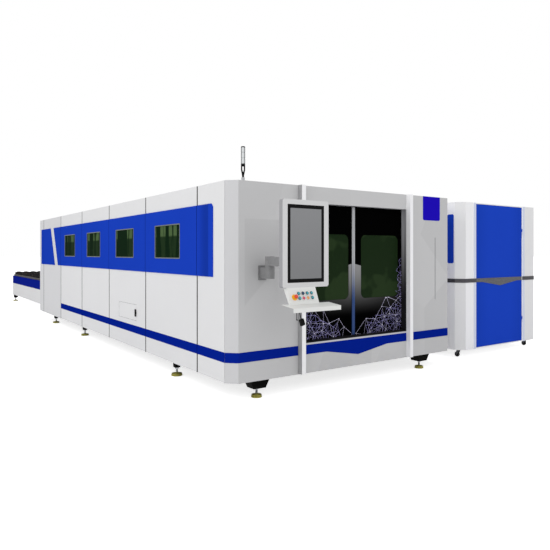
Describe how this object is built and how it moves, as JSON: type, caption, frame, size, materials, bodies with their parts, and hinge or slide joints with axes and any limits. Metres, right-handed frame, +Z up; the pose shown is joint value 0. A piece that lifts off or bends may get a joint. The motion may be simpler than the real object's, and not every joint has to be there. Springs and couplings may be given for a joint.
{
  "type": "fiber laser cutting machine",
  "caption": "Enclosed sheet laser cutter with sliding front doors, gantry cutting head, exchange pallets, swing console and free-standing laser cabinet.",
  "frame": {"origin": "on the floor, midway across everything that stands there in x and in y", "axes": "+Y from the front doors to the exchange table, +X towards the laser cabinet, +Z up"},
  "size_m": [5.9136, 15.3998, 2.59],
  "materials": {
    "white_paint": "satin powder coat",
    "grey_paint": "satin powder coat",
    "black_paint": "gloss",
    "blue_paint": "satin powder coat",
    "cabinet_blue": "satin powder coat",
    "frame_paint": "matt",
    "rail_steel": "ground",
    "slat_steel": "scaled",
    "foot_brass": "dull plated",
    "edge_aluminium": "anodised",
    "dark_glass": "tinted",
    "screen_plastic": "gloss",
    "black_plastic": "moulded",
    "lamp_plastic": "frosted",
    "belt_vinyl": "woven",
    "button_teal": "gloss",
    "button_navy": "gloss",
    "lamp_amber": "gloss",
    "stop_red": "gloss",
    "stop_yellow": "gloss",
    "lead_rubber": "matt",
    "wheel_rubber": "matt"
  },
  "bodies": {
    "machine": {"base_frame": "frame_paint", "bed_rails": "rail_steel", "side_panels": "white_paint", "front_left_panel": "grey_paint", "front_right_panel": "grey_paint", "front_portal": "grey_paint", "door_liner": "black_paint", "door_fins": "white_paint", "roof_panels": "white_paint", "rear_wall": "white_paint", "blue_trim": "blue_paint", "window_frames": "edge_aluminium", "window_panes": "dark_glass", "foot_screws": "rail_steel", "foot_pads": "foot_brass", "tower_bracket": "black_plastic", "tower_lamp": "lamp_plastic", "exchange_frame": "blue_paint", "exchange_skirt": "white_paint", "arm_bracket": "white_paint", "cabinet_shell": "white_paint", "cabinet_belt": "belt_vinyl", "cabinet_units": "grey_paint"},
    "swing_arm": {"arm_link": "white_paint"},
    "console": {"console_housing": "white_paint", "console_bezel": "black_plastic", "console_screen": "screen_plastic", "console_desk": "white_paint", "indicator_lamps": "lamp_amber", "estop_ring": "stop_yellow", "usb_socket": "black_plastic", "usb_lead": "lead_rubber"},
    "emergency_stop": {"estop_cap": "stop_red"},
    "button_1": {"push_button_1": "button_teal"},
    "button_2": {"push_button_2": "button_navy"},
    "button_3": {"push_button_3": "button_teal"},
    "button_4": {"push_button_4": "button_teal"},
    "button_5": {"push_button_5": "button_teal"},
    "button_6": {"push_button_6": "button_teal"},
    "hatch": {"hatch_door": "white_paint"},
    "latch": {"hatch_latch": "black_plastic"},
    "left_leaf": {"left_door_leaf": "black_paint", "left_door_pane": "dark_glass", "door_edge_bar": "edge_aluminium"},
    "right_leaf": {"right_door_leaf": "black_paint", "right_door_pane": "dark_glass"},
    "shutter": {"rear_shutter": "grey_paint"},
    "gantry": {"gantry": "white_paint"},
    "carriage": {"carriage": "edge_aluminium"},
    "head": {"cutting_head": "edge_aluminium"},
    "upper_pallet": {"pallet_upper": "slat_steel"},
    "lower_pallet": {"pallet_lower": "slat_steel"},
    "cabinet_door": {"cabinet_door": "cabinet_blue", "cabinet_door_belt": "belt_vinyl"},
    "left_fork": {"left_caster_fork": "rail_steel"},
    "right_fork": {"right_caster_fork": "rail_steel"},
    "wheel_front_left": {"front_left_wheel": "wheel_rubber"},
    "wheel_front_right": {"front_right_wheel": "wheel_rubber"},
    "wheel_rear_left": {"rear_left_wheel": "wheel_rubber"},
    "wheel_rear_right": {"rear_right_wheel": "wheel_rubber"}
  },
  "joints": [
    {"name": "arm_shoulder", "type": "hinge", "parent": "machine", "child": "swing_arm", "pos_m": [-2.4392, -6.61111, 1.352], "axis": [0, 0, 1], "range_deg": [-30, 70]},
    {"name": "console_wrist", "type": "hinge", "parent": "swing_arm", "child": "console", "pos_m": [-2.6808, -7.39889, 1.352], "axis": [0, 0, 1], "range_deg": [-60, 60]},
    {"name": "emergency_stop_press", "type": "slide", "parent": "console", "child": "emergency_stop", "axis": [0, 0.9231, -0.3846], "range_m": [0, 0.004], "stiffness_N_per_m": 1500, "springref_m": -0.002},
    {"name": "button_1_press", "type": "slide", "parent": "console", "child": "button_1", "axis": [0, 0.9231, -0.3846], "range_m": [0, 0.004], "stiffness_N_per_m": 600, "springref_m": -0.002},
    {"name": "button_2_press", "type": "slide", "parent": "console", "child": "button_2", "axis": [0, 0.9231, -0.3846], "range_m": [0, 0.004], "stiffness_N_per_m": 600, "springref_m": -0.002},
    {"name": "button_3_press", "type": "slide", "parent": "console", "child": "button_3", "axis": [0, 0.9231, -0.3846], "range_m": [0, 0.004], "stiffness_N_per_m": 600, "springref_m": -0.002},
    {"name": "button_4_press", "type": "slide", "parent": "console", "child": "button_4", "axis": [0, 0.9231, -0.3846], "range_m": [0, 0.004], "stiffness_N_per_m": 600, "springref_m": -0.002},
    {"name": "button_5_press", "type": "slide", "parent": "console", "child": "button_5", "axis": [0, 0.9231, -0.3846], "range_m": [0, 0.004], "stiffness_N_per_m": 600, "springref_m": -0.002},
    {"name": "button_6_press", "type": "slide", "parent": "console", "child": "button_6", "axis": [0, 0.9231, -0.3846], "range_m": [0, 0.004], "stiffness_N_per_m": 600, "springref_m": -0.002},
    {"name": "hatch_hinge", "type": "hinge", "parent": "machine", "child": "hatch", "pos_m": [-2.8265, -3.23811, 0.68], "axis": [0, 0, -1], "range_deg": [0, 100]},
    {"name": "latch_turn", "type": "hinge", "parent": "hatch", "child": "latch", "pos_m": [-2.8212, -3.92711, 0.68], "axis": [-1, 0, 0], "range_deg": [0, 90]},
    {"name": "left_door_slide", "type": "slide", "parent": "machine", "child": "left_leaf", "axis": [-1, 0, 0], "range_m": [0, 0.78]},
    {"name": "right_door_slide", "type": "slide", "parent": "machine", "child": "right_leaf", "axis": [1, 0, 0], "range_m": [0, 0.78]},
    {"name": "shutter_lift", "type": "slide", "parent": "machine", "child": "shutter", "axis": [0, 0, 1], "range_m": [-0.446, 0]},
    {"name": "gantry_travel", "type": "slide", "parent": "machine", "child": "gantry", "axis": [0, 1, 0], "range_m": [-0.8, 6.3]},
    {"name": "carriage_travel", "type": "slide", "parent": "gantry", "child": "carriage", "axis": [1, 0, 0], "range_m": [-1.3, 1.3]},
    {"name": "head_height", "type": "slide", "parent": "carriage", "child": "head", "axis": [0, 0, 1], "range_m": [-0.1, 0.02]},
    {"name": "upper_pallet_travel", "type": "slide", "parent": "machine", "child": "upper_pallet", "axis": [0, -1, 0], "range_m": [0, 6.6]},
    {"name": "lower_pallet_travel", "type": "slide", "parent": "machine", "child": "lower_pallet", "axis": [0, 1, 0], "range_m": [0, 6.6]},
    {"name": "cabinet_hinge", "type": "hinge", "parent": "machine", "child": "cabinet_door", "pos_m": [2.5138, -6.33211, 0.54], "axis": [0, 0, 1], "range_deg": [0, 100]},
    {"name": "left_caster_swivel", "type": "hinge", "parent": "machine", "child": "left_fork", "pos_m": [1.1538, -6.17711, 0.12], "axis": [0, 0, 1], "continuous": true},
    {"name": "front_left_wheel_spin", "type": "hinge", "parent": "left_fork", "child": "wheel_front_left", "pos_m": [1.1538, -6.14911, 0.0375], "axis": [1, 0, 0], "continuous": true},
    {"name": "rear_left_wheel_spin", "type": "hinge", "parent": "machine", "child": "wheel_rear_left", "pos_m": [1.1538, -5.37711, 0.0375], "axis": [1, 0, 0], "continuous": true},
    {"name": "right_caster_swivel", "type": "hinge", "parent": "machine", "child": "right_fork", "pos_m": [2.8688, -6.17711, 0.12], "axis": [0, 0, 1], "continuous": true},
    {"name": "front_right_wheel_spin", "type": "hinge", "parent": "right_fork", "child": "wheel_front_right", "pos_m": [2.8688, -6.14911, 0.0375], "axis": [1, 0, 0], "continuous": true},
    {"name": "rear_right_wheel_spin", "type": "hinge", "parent": "machine", "child": "wheel_rear_right", "pos_m": [2.8688, -5.37711, 0.0375], "axis": [1, 0, 0], "continuous": true}
  ],
  "couplings": [
    {"joint": "lower_pallet_travel", "follows": "upper_pallet_travel", "ratio": 1}
  ]
}
